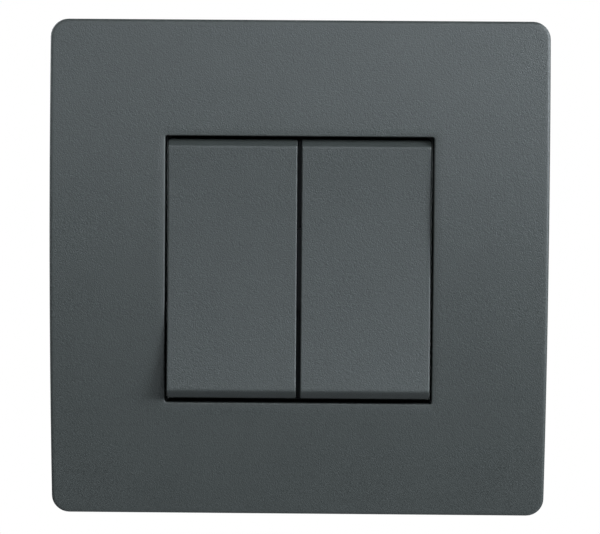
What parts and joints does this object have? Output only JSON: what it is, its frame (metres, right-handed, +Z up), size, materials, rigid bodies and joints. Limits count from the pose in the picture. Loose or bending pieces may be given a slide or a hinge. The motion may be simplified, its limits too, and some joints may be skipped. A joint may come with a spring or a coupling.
{
  "type": "rocker wall switch",
  "caption": "Square flush-mounted light switch: bowed matte anthracite cover plate round side-by-side rocker keys with bevelled ends, on a snap-in mechanism with rear terminals.",
  "frame": {"origin": "middle of the switch on the wall's surface, where the support frame's flat back rests", "axes": "+X to the viewer's right, +Y into the wall, +Z up; the keys face -Y"},
  "size_m": [0.085, 0.0332, 0.085],
  "materials": {
    "anthracite_plate": "fine spark-eroded matte",
    "anthracite_key": "fine spark-eroded matte",
    "grey_frame_plastic": "moulded matte",
    "white_base_plastic": "moulded matte",
    "black_cover_plastic": "moulded matte",
    "natural_nylon": "moulded satin",
    "white_acetal": "moulded smooth",
    "spring_steel": "drawn wire",
    "copper_strip": "stamped copper",
    "silver_contact": "pressed silver alloy",
    "brass_strip": "stamped brass",
    "plated_brass_cage": "machined brass",
    "zinc_steel_screw": "zinc plated"
  },
  "bodies": {
    "root": {"cover_plate": "anthracite_plate", "support_frame": "grey_frame_plastic", "mechanism_base": "white_base_plastic", "mechanism_cover": "black_cover_plastic", "left_common_terminal": "brass_strip", "right_common_terminal": "brass_strip", "left_upper_terminal": "brass_strip", "right_upper_terminal": "brass_strip", "left_lower_terminal": "brass_strip", "right_lower_terminal": "brass_strip", "fixed_contacts": "silver_contact", "terminal_cages": "plated_brass_cage", "terminal_screws": "zinc_steel_screw"},
    "left_rocker": {"left_key": "anthracite_key", "left_actuator": "natural_nylon", "left_plunger_spring": "spring_steel"},
    "left_plunger": {"left_plunger": "white_acetal"},
    "left_bridge": {"left_contact_bridge": "copper_strip", "left_moving_contacts": "silver_contact"},
    "right_rocker": {"right_key": "anthracite_key", "right_actuator": "natural_nylon", "right_plunger_spring": "spring_steel"},
    "right_plunger": {"right_plunger": "white_acetal"},
    "right_bridge": {"right_contact_bridge": "copper_strip", "right_moving_contacts": "silver_contact"}
  },
  "joints": [
    {"name": "left_rocker_pivot", "type": "hinge", "parent": "root", "child": "left_rocker", "pos_m": [0, -0.0048, 0], "axis": [1, 0, 0], "range_deg": [0, 8]},
    {"name": "left_plunger_slide", "type": "slide", "parent": "left_rocker", "child": "left_plunger", "axis": [0, -0.9976, 0.0698], "range_m": [0, 0.0008], "stiffness_N_per_m": 800, "springref_m": -0.002, "deforming": ["left_plunger_spring"]},
    {"name": "left_bridge_pivot", "type": "hinge", "parent": "root", "child": "left_bridge", "pos_m": [0, 0.012, 0], "axis": [1, 0, 0], "range_deg": [-12, 0]},
    {"name": "right_rocker_pivot", "type": "hinge", "parent": "root", "child": "right_rocker", "pos_m": [0, -0.0048, 0], "axis": [1, 0, 0], "range_deg": [0, 8]},
    {"name": "right_plunger_slide", "type": "slide", "parent": "right_rocker", "child": "right_plunger", "axis": [0, -0.9976, 0.0698], "range_m": [0, 0.0008], "stiffness_N_per_m": 800, "springref_m": -0.002, "deforming": ["right_plunger_spring"]},
    {"name": "right_bridge_pivot", "type": "hinge", "parent": "root", "child": "right_bridge", "pos_m": [0, 0.012, 0], "axis": [1, 0, 0], "range_deg": [-12, 0]}
  ],
  "couplings": [
    {"joint": "left_bridge_pivot", "follows": "left_rocker_pivot", "ratio": -1.5},
    {"joint": "right_bridge_pivot", "follows": "right_rocker_pivot", "ratio": -1.5}
  ]
}
